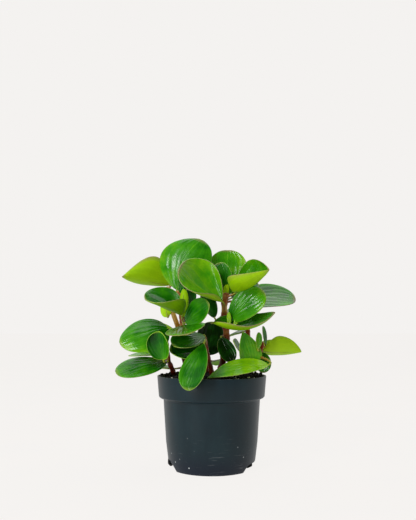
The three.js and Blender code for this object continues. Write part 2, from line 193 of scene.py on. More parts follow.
SHOOTS = {
    "shoot_upper_left": Shoot((3.6, 2.8), [
        (-22, 2, 104), (-27, -4, 125), (-31, -10, 150), (-32, -10, 163), (-35, -2, 182), (-37, 3, 192),
    ], [
        Leaf(0.97, (-39, 5, 195), (-12, 14, 252.5), (-0.15, -0.95, 0.3), 61, 0.42, 0.6, cup=-18, bow=5,
             sway=6.5, broad=0.52, fade=-0.1, lean=0.1),
        Leaf(0.66, (-28, -25, 158), (-3, -42, 178), (0, -0.85, 0.5), 29, 0.3, 0.3),
        Leaf(0.62, (-30, -22, 155), (-24, -74, 146), (-0.2, -0.4, 0.9), 42, 0.32, 0.6, cup=10, fade=0.2),
        Leaf(0.68, (-33, -15, 167), (-69, -38, 182), (0.25, -0.28, 0.93), 60, 0.27, 0.5, cup=78, fold=0.8,
             broad=0.45, start=0.45, end=0.42),
        Leaf(0.95, (-35, 0, 191), (-32, 0, 207), (0, -1, 0), 8, 0.3),
        Leaf(0.72, (-29, -12, 164), (-23, -14, 195), (0.6, -0.75, 0.1), 18, 0.2, broad=0.75, start=1,
             end=0.4),
        Leaf(0.7, (-32, -16, 164), (-30, -20, 194), (0.3, 0.9, 0.1), 13, 0.5, 0.2, cup=70),
    ]),
    "shoot_left_back": Shoot((3.6, 2.6), [
        (-28, 14, 104), (-33, 8, 128), (-37, 2, 152), (-43, 4, 169), (-48, 14, 186), (-50, 22, 198),
    ], [
        Leaf(0.98, (-50, 35, 203), (-101, 11, 210.5), (-0.1, 0.5, 0.9), 66, 0.5, 1, cup=76, fold=0.2,
             broad=0.42, start=0.65, end=1.1),
        Leaf(0.72, (-49, 2, 165), (-53, 16, 186), (0.3, 0.9, 0.3), 20, 0.6, 0.2),
        Leaf(0.03, (-44, 27, 106), (-86, 44, 107), (0, 0, 1), 30, 0.4),
    ]),
    "shoot_centre": Shoot((4.1, 3.1), [
        (10, 2, 104), (14, -3, 125), (16, -6, 146), (14, -8, 165), (14, -8, 184), (16, -4, 192),
    ], [
        Leaf(0.72, (11, -16, 181), (-34, -32, 216.5), (0.33, -0.7, 0.66), 67, 0.55, 0.8, cup=68, fold=0.8,
             bow=-5, start=0.7, end=0.42, fade=0.1),
        Leaf(0.97, (18, 5, 190), (18, 24, 242), (0, -0.9, 0.4), 45, 0.5, 0.8, lean=-0.15),
        Leaf(0.95, (15, -2, 188), (8, 2, 225), (-0.3, -0.9, 0.2), 26, 0.25, 0.3, cup=30),
        Leaf(0.9, (27, -14, 191), (58, -52, 211.5), (-0.3, -0.38, 0.87), 70, 0.47, 0.8, cup=98, fold=0.2,
             bow=-4, broad=0.42, start=0.42, end=0.85),
        Leaf(0.88, (22, 4, 186), (52, 6, 202), (0, -0.5, 0.85), 28, 0.3),
        Leaf(0.85, (29, 0, 182), (92, -5, 184), (0.05, -0.6, 0.8), 48, 0.33, 1, cup=10, bow=5, broad=0.45),
        Leaf(0.6, (20, -22, 162), (55, -34, 190), (-0.1, -0.9, 0.35), 33, 0.42, 0.4, cup=20, bow=4, broad=0.6,
             fade=0.2, lean=-0.1),
        Leaf(0.6, (2, -30, 158), (66, -36, 169), (-0.15, -0.38, 0.92), 42, 0.36, 0.9, cup=56, fold=0.6,
             bow=-12, broad=0.46, start=0.5, end=0.7),
        Leaf(0.62, (18.5, -27, 154), (18, -27, 169.5), (0, -1, 0), 5, 0.9, 0),
        Leaf(0.62, (23, -27, 154.5), (31, -26, 167), (0, -1, 0.2), 6, 0.9, 0),
        Leaf(0.97, (14, -8, 187), (17, -8, 200), (0, 1, 0), 7, 0.8, 0),
        Leaf(0.55, (3, 0, 164), (-9, 8, 194), (0.3, -0.9, 0.2), 18, 0.1),
        Leaf(0.42, (10, -14, 142), (21, -26, 116), (0.2, -0.9, 0.35), 20, 0.02, 0.3),
    ]),
    "shoot_left_low": Shoot((2.8, 2.2), [
        (-42, -8, 104), (-47, -14, 118), (-49, -16, 138), (-49, -18, 148),
    ], [
        Leaf(0.97, (-47, -22, 152), (-96, -35, 136), (-0.1, -0.8, 0.6), 46, 0.35, 0.1, cup=-20, bow=4,
             broad=0.4, start=0.36, end=0.5, fade=0.45, lean=0.15),
        Leaf(0.5, (-50, -42, 120), (-55, -49, 149), (-0.3, -0.9, 0.25), 32, 0.27, 0, cup=74, start=0.5,
             fade=-0.2, lean=-0.3),
        Leaf(0.4, (-48, -20, 116), (-100, -38, 106), (-0.1, -0.55, 0.83), 37, 0.25, 0.3, cup=-10, bow=3,
             start=0.7, fade=0.3),
        Leaf(0.5, (-52, -4, 124), (-92, 4, 122), (0, -0.1, 1), 34, 0.5, 0.2, cup=10),
    ]),
    "shoot_centre_low": Shoot((2.8, 1.8), [
        (0, -20, 104), (-3, -24, 118), (-6, -26, 132), (-7, -27, 142),
    ], [
        Leaf(0.85, (-9, -28, 145), (-39, -50, 134), (0, -0.5, 0.87), 34, 0.27, 0.3, cup=15, fade=-0.2),
        Leaf(0.5, (-9, -30, 125), (-43, -45, 129), (0.1, -0.7, 0.7), 34, 0.1, 0.1, cup=40),
        Leaf(0.8, (-8, -50, 137), (-23, -73, 91), (-0.45, -0.85, 0.4), 31, 0.27, 0.1, cup=30, broad=0.64,
             start=0.95, lean=-0.2),
    ]),
    "shoot_right_low": Shoot((2.8, 2), [
        (34, -8, 104), (43, -12, 114), (52, -12, 126), (55, -10, 136),
    ], [
        Leaf(0.4, (43, -19, 114), (33, -23, 149), (0.3, -0.9, 0.2), 28, 0.5, 0.2, cup=30, broad=0.22,
             start=0.4, end=1),
        Leaf(0.4, (32, -10, 126), (23, -20, 139), (0, -0.6, 0.8), 18, 0.3),
        Leaf(0.8, (49, -22, 130), (50, -24, 148), (0.3, -0.8, 0.2), 9, 0.6, 0.2, cup=60),
        Leaf(0.9, (60, 5, 134), (57, 5, 155), (0.8, -0.5, 0.2), 10, 0.35),
        Leaf(0.8, (55.5, 2, 127), (101, 14, 126), (0, 0.6, 0.8), 42, 0.6, 0.5, cup=60, bow=-1, broad=0.36,
             start=0.95, end=0.85),
        Leaf(0.6, (59, -35, 114), (-5, -49, 101), (0, -0.5, 0.87), 29, 0.62, 0.3, cup=22, bow=3, broad=0.44,
             end=1.15, fade=-0.4),
        Leaf(0.6, (56, -5, 126), (56, -12, 104), (0, -0.9, 0.3), 18, 0.35, 0.6),
    ]),
    "shoot_back_left": Shoot((3.2, 2.2), [
        (-26, 30, 104), (-34, 36, 128), (-36, 43, 152), (-33, 46, 176), (-30, 44, 198),
    ], [
        Leaf(0.98, (-28, 50, 205), (-25, 76, 245), (0, -0.5, 0.8), 44, 0.45, 0.6, cup=35),
        Leaf(0.93, (-38, 48, 203), (-80, 64, 215), (-0.1, 0.35, 0.9), 36, 0.5, 0.8, cup=40, broad=0.5),
        Leaf(0.9, (-23, 48, 201), (5, 72, 222), (0.1, 0.3, 0.95), 38, 0.4, 0.5, cup=25, bow=4),
        Leaf(0.7, (-40, 52, 176), (-74, 72, 188), (0.15, 0.3, 0.95), 34, 0.4, 0.4, cup=30, broad=0.5),
        Leaf(0.5, (-42, 48, 148), (-89, 62, 141), (0.1, 0.45, 0.9), 40, 0.35, 0.5, cup=25, bow=4),
        Leaf(0.35, (-27, 48, 136), (-27, 79, 125), (0, 0.4, 0.9), 34, 0.4, 0.3, cup=20, bow=3),
    ]),
    "shoot_back_right": Shoot((3.2, 2.2), [
        (34, 28, 104), (40, 33, 128), (42, 38, 152), (38, 42, 174), (34, 42, 194),
    ], [
        Leaf(0.97, (32, 48, 200), (28, 76, 236), (0.1, -0.4, 0.9), 42, 0.45, 0.7, cup=35),
        Leaf(0.85, (42, 46, 184), (83, 62, 188), (0, 0.4, 0.9), 36, 0.5, 0.6, cup=20, bow=4),
        Leaf(0.8, (32, 50, 180), (5, 66, 160), (-0.3, -0.3, 0.9), 30, 0.35, 0.4, cup=15),
        Leaf(0.55, (42, 44, 160), (40, 79, 156), (0, 0.35, 0.9), 42, 0.45, 0.6, cup=25, bow=5),
        Leaf(0.5, (36, 50, 148), (18, 70, 142), (-0.1, -0.3, 1), 26, 0.3, 0.3),
        Leaf(0.3, (48, 38, 131), (86, 56, 128), (0, 0.4, 0.9), 34, 0.5, 0.5, cup=30, broad=0.5),
        Leaf(0.1, (38, 40, 112), (45, 76, 107), (0, 0.3, 0.95), 37, 0.4, 0.4, cup=15, bow=4),
    ]),
    "shoot_back_centre": Shoot((2.6, 2), [
        (-6, 38, 104), (-7, 41, 114), (-8, 44, 122),
    ], [
        Leaf(0.97, (-5, 44, 121), (3, 47, 160), (0.1, -0.9, -0.2), 38, 0, 0.2, broad=0.5),
        Leaf(0.9, (-14, 50, 124), (-38, 72, 119), (0, 0.35, 0.95), 30, 0.35, 0.5, bow=3),
        Leaf(0.6, (1, 50, 113), (6, 77, 107), (0, 0.3, 0.95), 27, 0.1, 0.4, bow=3),
    ]),
}

# Rows and columns of a blade, by the greatest width that they are for
BLADE_GRIDS = [(12, 8, 8), (24, 14, 16), (80, 20, 28)]
BLADE_FIRST = 0.02
BLADE_LAST = 0.985
# The width in mm from which a blade has the full depth of veins and waves
FULL_WIDTH = 45

# Stage, in metres

# Each light's place, the point that it faces, and its width and height
LIGHTS = {
    "key": ((-0.7, -0.95, 0.95), (0, 0, 0.17), (0.36, 0.36)),
    "overhead": ((0.15, 0.25, 1.25), (0, 0, 0.15), (1.2, 1.2)),
    "strip": ((-0.62, -0.8, 0.28), (0, 0, 0.1), (0.09, 0.52)),
}
# The camera looks level, as the curves of the pot's rim and foot say, and its shift frames the plant
CAMERA_PLACE = (0, -0.64, 0.1485)
CAMERA_LENS = 40.1
CAMERA_SHIFT = (-0.0073, 0.138)


# Settings

class PotSettings(bpy.types.PropertyGroup):
    height: measure("Height", "Height of the pot", 0.1005)
    rim_radius: measure("Rim radius", "Outer radius at the top", 0.06)
    foot_radius: measure("Foot radius", "Outer radius at the floor", 0.046)
    wall: measure("Wall", "Thickness of the wall", 0.0016)
    steps: IntProperty(name="Steps", description="Facets around the pot", default=168, min=24, max=360)
    colour: colour_property("Colour", "Colour of the moulded plastic", "#0a2229")


class SoilSettings(bpy.types.PropertyGroup):
    crumbs: IntProperty(name="Crumbs", description="Number of loose crumbs", default=900, min=0, max=3000)
    crumb_size: measure("Crumb size", "Radius of a middling crumb", 0.0011)
    perlite: IntProperty(name="Perlite", description="Number of white grains", default=26, min=0, max=300)
    seed: IntProperty(name="Seed", description="Start of the random draws", default=4)
    colour: colour_property("Peat", "Colour of the damp peat", "#120b08")


class PlantSettings(bpy.types.PropertyGroup):
    blade: measure("Blade", "Thickness in the middle of a leaf", 0.0013)
    vein_depth: measure("Vein depth", "How far a large leaf swells between its veins", 0.00012)
    wave: measure("Wave", "How far a blade waves", 0.0009)
    # The deep green also serves as painted shade for leaves that stand in shadow
    deep: colour_property("Deep green", "Upper side of the darkest leaves", "#022402")
    middle: colour_property("Middle green", "Upper side of most leaves", "#3c8a04")
    fresh: colour_property("Fresh green", "Upper side of the youngest leaves", "#94c40c")
    underside: colour_property("Underside", "Lime underside of the leaves", "#93c004")
    margin: colour_property("Margin", "Blushed margin of the leaves", "#8a6558")
    stem: colour_property("Stem", "Ochre skin of the stems", "#a8741a")
    blush: colour_property("Blush", "Red brown of the nodes and leaf stalks", "#7e240e")


class StageSettings(bpy.types.PropertyGroup):
    floor_radius: measure("Floor radius", "Radius of the floor", 60.0)
    key: measure("Key", "Power of the key light", 10.5, "POWER")
    overhead: measure("Overhead", "Power of the overhead light", 8.0, "POWER")
    strip: measure("Strip", "Power of the tall strip light", 3.0, "POWER")
    fill: measure("Fill", "Strength of the light from all round", 1.0, "NONE")
    paper: colour_property("Paper", "Colour of the floor and the background", "#f4f2f0")


# Materials

def add(tree, kind, inputs=(), stops=(), **settings):
    """Adds a node with its settings, fills its inputs or links them to an output, or to a node's first
    output, and gives a colour ramp its stops. A colour may be an sRGB hex value."""
    node = tree.nodes.new("ShaderNode" + kind)
    for key, value in settings.items():
        setattr(node, key, value)
    for key, value in inputs.items() if isinstance(inputs, dict) else enumerate(inputs):
        if isinstance(value, bpy.types.Node):
            value = value.outputs[0]
        if isinstance(value, bpy.types.NodeSocket):
            tree.links.new(value, node.inputs[key])
        else:
            node.inputs[key].default_value = linear(value) if isinstance(value, str) else value
    for number, (place, colour) in enumerate(stops):
        marks = node.color_ramp.elements
        mark = marks[number] if number < len(marks) else marks.new(1)
        mark.position, mark.color = place, linear(colour) if isinstance(colour, str) else colour
    return node


def new_material(surface_inputs, *settings):
    """The material that the function describes: it is given the tree and each point's place in the object,
    and it returns the inputs of the surface."""
    material = bpy.data.materials.new(surface_inputs.__name__)
    material.use_nodes = True
    tree = material.node_tree
    tree.nodes.clear()
    place = add(tree, "TexCoord").outputs["Object"]
    surface = add(tree, "BsdfPrincipled", surface_inputs(tree, place, *settings))
    add(tree, "OutputMaterial", [surface])
    return material


def vein_nodes(tree, place):
    """How far each point is along the blade, across it from the midrib, and from a vein."""
    split = add(tree, "SeparateXYZ", [add(tree, "UVMap", uv_map="blade")])
    # The side veins leave the midrib and arch to the tip. They wander by a fraction of their distance apart,
    # which is 4 to 8 mm
    wander = add(tree, "TexNoise", {"Vector": place, "Scale": 70, "Detail": 2})
    signed = add(tree, "Math", [split.outputs[1], 2, -1], operation="MULTIPLY_ADD")
    across = add(tree, "Math", [signed], operation="ABSOLUTE")
    arch = add(tree, "Math", [split, -VEIN_ARCH, 2], operation="MULTIPLY_ADD")
    shift = add(tree, "Math", [wander, 0.16, arch], operation="MULTIPLY_ADD")
    moved = add(tree, "Math", [across, shift], operation="ADD")
    near = add(tree, "Math", [moved, VEIN_STEP / 2], operation="PINGPONG")
    return split, across, near


def waxy_leaf_face(tree, place, plant):
    # A fleshy leaf grown with a thick waxy skin: deep green and smooth, with soft highlights that break
    # where the skin swells between sunken veins
    along, across, near = vein_nodes(tree, place)
    # Painted shade: the tone attribute darkens leaves, and parts of leaves, that stand in shadow, besides
    # giving each leaf its own green
    tone = add(tree, "Attribute", attribute_name="tone")
    # Cloudy patches of about 12 mm
    cloud = add(tree, "TexNoise", {"Vector": place, "Scale": 80, "Detail": 3})
    clouded = add(tree, "Math", [cloud, 0.56, -0.28], operation="MULTIPLY_ADD")
    vein = add(tree, "MapRange", [near, 0, 0.03, 1, 0], interpolation_type="SMOOTHSTEP")
    midrib = add(tree, "MapRange", [across, 0, 0.05, 1, 0], interpolation_type="SMOOTHSTEP")
    lines = add(tree, "Math", [vein, 0.05, clouded], operation="MULTIPLY_ADD")
    ribs = add(tree, "Math", [midrib, 0.1, lines], operation="MULTIPLY_ADD")
    outer = add(tree, "Math", [across, 4], operation="POWER")
    paling = add(tree, "Math", [outer, 0.14, ribs], operation="MULTIPLY_ADD")
    toned = add(tree, "Math", [tone.outputs["Fac"], paling], operation="ADD")
    green = add(tree, "ValToRGB", [toned],
                stops=[(0, plant.deep), (0.25, "#126004"), (0.5, plant.middle), (1, plant.fresh)])
    edge = add(tree, "Attribute", attribute_name="edge")
    blush = add(tree, "Mix", {0: edge.outputs["Fac"], 6: "#7ea62a", 7: tuple(plant.margin)}, data_type="RGBA")
    rim = add(tree, "MapRange", [across, 0.975, 1, 0, 0.6])
    tip = add(tree, "MapRange", [along, 0.93, 1, 0, 0.8])
    blushed = add(tree, "Math", [rim, tip], operation="MAXIMUM")
    skin = add(tree, "Mix", {0: blushed, 6: green, 7: blush.outputs[2]}, data_type="RGBA")
    # The skin swells between the veins, and it is finely dimpled, every 1.8 mm or so
    swell = add(tree, "MapRange", [near, 0, VEIN_STEP / 2, 0, 1], interpolation_type="SMOOTHSTEP")
    grain = add(tree, "TexNoise", {"Vector": place, "Scale": 560, "Detail": 2})
    grained = add(tree, "Math", [grain, 0.5, swell], operation="MULTIPLY_ADD")
    groove = add(tree, "Math", [midrib, -0.8, grained], operation="MULTIPLY_ADD")
    bump = add(tree, "Bump", {"Height": groove, "Strength": 0.4, "Distance": 0.0005})
    wax = add(tree, "MapRange", [cloud, 0.3, 0.7, 0.14, 0.26])
    return {
        "Base Color": skin.outputs[2], "Roughness": wax, "Normal": bump, "IOR": 1.46,
        "Specular IOR Level": 0.25,
    }


def matt_leaf_underside(tree, place, plant):
    # The thin-skinned underside has no thick wax: matt yellow green, paler along its raised veins
    along, across, near = vein_nodes(tree, place)
    cloud = add(tree, "TexNoise", {"Vector": place, "Scale": 90, "Detail": 3})
    vein = add(tree, "MapRange", [near, 0, 0.035, 0.06, 0])
    # Painted shade: the tone attribute also darkens the underside of leaves that stand in shadow
    tone = add(tree, "Attribute", attribute_name="tone")
    fresh = add(tree, "Math", [tone.outputs["Fac"], 0.8, vein], operation="MULTIPLY_ADD")
    patch = add(tree, "Math", [cloud, 0.3, fresh], operation="MULTIPLY_ADD")
    lime = add(tree, "ValToRGB", [patch], stops=[(0.1, "#3f7c04"), (0.55, plant.underside), (1, "#b4d808")])
    edge = add(tree, "Attribute", attribute_name="edge")
    # The wide band along the margin is partly the real mauve blush and partly a painted highlight along the
    # near rim
    rim = add(tree, "MapRange", [across, 0.82, 1, 0, 0.6])
    tip = add(tree, "MapRange", [along, 0.93, 1, 0, 0.85])
    blushed = add(tree, "Math", [rim, tip], operation="MAXIMUM")
    old = add(tree, "Math", [edge.outputs["Fac"], 2.5], operation="POWER")
    share = add(tree, "Math", [blushed, old], operation="MULTIPLY")
    skin = add(tree, "Mix", {0: share, 6: lime, 7: tuple(plant.margin)}, data_type="RGBA")
    grain = add(tree, "TexNoise", {"Vector": place, "Scale": 1100, "Detail": 2})
    raised = add(tree, "Math", [grain, 0.15, vein], operation="MULTIPLY_ADD")
    bump = add(tree, "Bump", {"Height": raised, "Strength": 0.3, "Distance": 0.0004})
    return {
        "Base Color": skin.outputs[2], "Roughness": 0.5, "Normal": bump, "IOR": 1.43,
        "Specular IOR Level": 0.15,
    }


def hard_leaf_margin(tree, place, plant):
    # The hard clear margin of the blade: lime where it is young and blushed mauve brown where it is old
    edge = add(tree, "Attribute", attribute_name="edge")
    # Blotches of about 5 mm
    blotch = add(tree, "TexNoise", {"Vector": place, "Scale": 200, "Detail": 2})
    shade = add(tree, "Math", [blotch, 0.6, -0.3], operation="MULTIPLY_ADD")
    mixed = add(tree, "Math", [edge.outputs["Fac"], shade], operation="ADD", use_clamp=True)
    tint = add(tree, "Mix", {0: mixed, 6: "#7ea62a", 7: tuple(plant.margin)}, data_type="RGBA")
    return {"Base Color": tint.outputs[2], "Roughness": 0.45, "IOR": 1.46}


def fleshy_stem_skin(tree, place, plant):
    # A fleshy herbaceous stem: smooth ochre skin with fine lengthwise streaks and red brown at its swollen
    # nodes.
    # Painted shade and highlight: it darkens to near black low down, where the stems stand in shade under the
    # leaves, and pales to a highlight gold towards the top
    node = add(tree, "Attribute", attribute_name="node")
    split = add(tree, "SeparateXYZ", [place])
    low = add(tree, "MapRange", [split.outputs[2], 0.105, 0.175, -0.15, 0.75])
    stretch = add(tree, "Mapping", {0: place, 3: (1500, 1500, 180)})
    streak = add(tree, "TexNoise", {"Vector": stretch, "Scale": 1, "Detail": 3})
    height = add(tree, "Math", [streak, 0.5, low], operation="MULTIPLY_ADD")
    # Painted shade and highlight: the ramp runs from near black low down to a highlight gold near the top
    skin = add(tree, "ValToRGB", [height], stops=[
        (0.1, "#1e1006"), (0.4, "#66360c"), (0.75, plant.stem), (1, "#d8b45e"),
    ])
    red = add(tree, "Mix", {0: node.outputs["Fac"], 6: skin, 7: tuple(plant.blush)}, data_type="RGBA")
    bump = add(tree, "Bump", {"Height": streak, "Strength": 0.4, "Distance": 0.0003})
    return {
        "Base Color": red.outputs[2], "Roughness": 0.27, "Normal": bump, "IOR": 1.45,
        "Specular IOR Level": 0.35,
    }


def leaf_stalk_skin(tree, place, plant):
    # A leaf stalk: red brown where it leaves the stem and lime green under the blade
    node = add(tree, "Attribute", attribute_name="node")
    mottle = add(tree, "TexNoise", {"Vector": place, "Scale": 300, "Detail": 3})
    reach = add(tree, "Math", [mottle, 0.4, -0.2], operation="MULTIPLY_ADD")
    blush = add(tree, "Math", [node.outputs["Fac"], reach], operation="ADD")
    skin = add(tree, "ValToRGB", [blush], stops=[
        (0, "#8fae1e"), (0.35, "#8a7a24"), (0.65, "#86401c"), (0.95, plant.blush),
    ])
    bump = add(tree, "Bump", {"Height": mottle, "Strength": 0.2, "Distance": 0.0003})
    return {"Base Color": skin, "Roughness": 0.4, "Normal": bump, "IOR": 1.45}


def moulded_polypropylene(tree, place, pot):
    # Injection moulded polypropylene with recycled pigment: dark slate, faintly cloudy, with a soft sheen,
    # a few pale specks and dust low down, and painted shade that darkens it to navy at the foot

    # Flow clouds of about 20 mm, drawn up the wall
    flow = add(tree, "Mapping", {0: place, 3: (60, 60, 25)})
    cloud = add(tree, "TexNoise", {"Vector": flow, "Scale": 1, "Detail": 4})
    body = add(tree, "ValToRGB", [cloud], stops=[(0.3, "#071d24"), (0.5, pot.colour), (0.7, "#10282e")])
    # Specks of 1 to 2 mm, fewer towards the rim
    speck = add(tree, "TexVoronoi", {"Vector": place, "Scale": 130, "Randomness": 1})
    dot = add(tree, "MapRange", [speck.outputs["Distance"], 0.06, 0.13, 1, 0])
    split = add(tree, "SeparateXYZ", [place])
    low = add(tree, "MapRange", [split.outputs[2], 0.006, 0.045, 0.9, 0])
    pick = add(tree, "SeparateColor", [speck.outputs["Color"]])
    few = add(tree, "Math", [pick, 0.3], operation="GREATER_THAN")
    kept = add(tree, "Math", [dot, few], operation="MULTIPLY")
    # Smears of dust lie across the foot, 10 to 20 mm long
    across = add(tree, "Mapping", {0: place, 3: (70, 70, 700)})
    smear = add(tree, "TexNoise", {"Vector": across, "Scale": 1, "Detail": 4})
    faint = add(tree, "MapRange", [smear, 0.62, 0.76, 0, 0.2])
    marks = add(tree, "Math", [kept, faint], operation="MAXIMUM")
    dust = add(tree, "Math", [marks, low], operation="MULTIPLY")
    # Painted shade: the colour darkens towards navy over the lowest 30 mm, standing in for shade at the foot
    foot = add(tree, "MapRange", [split.outputs[2], 0, 0.03, 0.8, 0], interpolation_type="SMOOTHSTEP")
    shaded_foot = add(tree, "Mix", {0: foot, 6: body, 7: "#040f22"}, data_type="RGBA")
    dusty = add(tree, "Mix", {0: dust, 6: shaded_foot.outputs[2], 7: "#b4babb"}, data_type="RGBA")
    # The mould's fine spark texture, drawn at 0.6 mm so that it shows
    grain = add(tree, "TexNoise", {"Vector": place, "Scale": 1700, "Detail": 2})
    bump = add(tree, "Bump", {"Height": grain, "Strength": 0.12, "Distance": 0.0002})
    gloss = add(tree, "MapRange", [cloud, 0.3, 0.7, 0.33, 0.4])
    return {
        "Base Color": dusty.outputs[2], "Roughness": gloss, "Normal": bump, "IOR": 1.49,
        "Specular IOR Level": 0.31,
    }


def torn_polypropylene(tree, place):
    # Painted shade: the lugs are near black, matt and rough, standing in for the deep shade under the corner
    # of the body
    shade_mottle = add(tree, "TexNoise", {"Vector": place, "Scale": 900, "Detail": 3})
    black = add(tree, "ValToRGB", [shade_mottle], stops=[(0.3, "#020303"), (0.7, "#0a0d0e")])
    bump = add(tree, "Bump", {"Height": shade_mottle, "Strength": 0.5, "Distance": 0.0003})
    return {"Base Color": black, "Roughness": 0.9, "Normal": bump, "Specular IOR Level": 0.1}


def damp_peat(tree, place, soil):
    # Damp sieved peat: nearly black, fully matt, with brown fibres and crumbs of 1 to 3 mm
    crumb = add(tree, "TexNoise", {"Vector": place, "Scale": 420, "Detail": 6, "Roughness": 0.65})
    earth = add(tree, "ValToRGB", [crumb], stops=[(0.35, "#060404"), (0.55, soil.colour), (0.75, "#2c1c12")])
    bump = add(tree, "Bump", {"Height": crumb, "Strength": 0.9, "Distance": 0.0012})
    return {"Base Color": earth, "Roughness": 0.95, "Normal": bump, "IOR": 1.4}


def expanded_perlite(tree, place):
    # Expanded volcanic glass: chalky off-white grains, rough and full of tiny bubbles
    bubble = add(tree, "TexVoronoi", {"Vector": place, "Scale": 1500})
    chalk = add(tree, "ValToRGB", [bubble.outputs["Distance"]], stops=[(0.1, "#8f8a80"), (0.6, "#d6d2c6")])
    bump = add(tree, "Bump", {"Height": bubble.outputs["Distance"], "Strength": 0.5, "Distance": 0.0003})
    return {"Base Color": chalk, "Roughness": 0.9, "Normal": bump, "IOR": 1.5}


def seamless_paper(tree, place, stage):
    # Seamless studio paper lit from behind: an even pale glow that takes only a breath of shadow

    # Fibre clouds too faint to see, as wide as a hand
    fibre = add(tree, "TexNoise", {"Vector": place, "Scale": 10, "Detail": 2})
    tint = add(tree, "Mix", {0: fibre, 6: tuple(stage.paper), 7: "#f6f3f0"}, data_type="RGBA")
    # Little of the paper's glow shows in the pot's sheen
    ray = add(tree, "LightPath")
    glow = add(tree, "Math", [ray.outputs["Is Glossy Ray"], -0.12, 0.97], operation="MULTIPLY_ADD")
    return {
        "Base Color": "#2a2a2a", "Roughness": 0.9, "Specular IOR Level": 0,
        "Emission Color": tint.outputs[2], "Emission Strength": glow,
    }


# Making pieces

def object_from(bm, name):
    """Turns the finished shape, drawn in millimetres, into an object."""
    bmesh.ops.scale(bm, vec=(MM, MM, MM), verts=bm.verts)
    mesh = bpy.data.meshes.new(name)
    bm.to_mesh(mesh)
    bm.free()
    made = bpy.data.objects.new(name, mesh)
    bpy.context.scene.collection.objects.link(made)
    return made


def piece_from(bm, name, materials, nodes):
    """Turns the finished shape into a smooth piece that stands for the nodes."""
    piece = object_from(bm, name)
    piece.data.shade_smooth()
    for material in materials:
        piece.data.materials.append(material)
    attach(piece, "root")
    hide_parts(*nodes)
    return piece


def turn_profile(bm, profile, steps):
    """Turns a line of (radius, height) corners once round the Z axis and closes it."""
    corners = [bm.verts.new((r, 0, z)) for r, z in profile]
    lines = [bm.edges.new(pair) for pair in zip(corners, corners[1:])]
    bmesh.ops.spin(bm, geom=corners + lines, cent=(0, 0, 0), axis=(0, 0, 1), angle=2 * math.pi, steps=steps,
                   use_merge=True)
    bmesh.ops.remove_doubles(bm, verts=bm.verts, dist=0.001)
    bmesh.ops.recalc_face_normals(bm, faces=bm.faces)


def round_edges(bm, edges, radius, segments, **settings):
    bmesh.ops.bevel(bm, geom=edges, offset=radius, offset_type="OFFSET", segments=segments, profile=0.5,
                    affect="EDGES", material=-1, **settings)


def cut(piece, cutter):
    """Cuts the cutter's shape out of the piece for good, and removes the cutter."""
    modifier = piece.modifiers.new("cut", "BOOLEAN")
    modifier.object = cutter
    modifier.solver = "EXACT"
    shape = bpy.data.meshes.new_from_object(piece.evaluated_get(bpy.context.evaluated_depsgraph_get()))
    piece.modifiers.clear()
    old = piece.data
    piece.data = shape
    bpy.data.meshes.remove(old)
    bpy.data.meshes.remove(cutter.data)


def inner_wall(pot, gap):
    """The pot's inner wall from the middle of its floor to the ledge under its rim, drawn in by gap."""
    inset = pot.wall / MM + gap
    foot = pot.height / MM - RIM_DROP
    radius = pot.rim_radius / MM - RIM_TAPER
    wall = [(0, FOOT_HEIGHT + inset), (BODY[0][0] - inset, FOOT_HEIGHT + inset)]
    wall += [(r - inset, z) for r, z in BODY[1:-1]]
    wall += [(BODY[-1][0] - inset, BODY[-1][1] + LEDGE_ROUND + gap)]
    wall += [(radius - inset - LEDGE_ROUND, foot + gap), (radius - inset, foot + LEDGE_ROUND + gap)]
    return wall


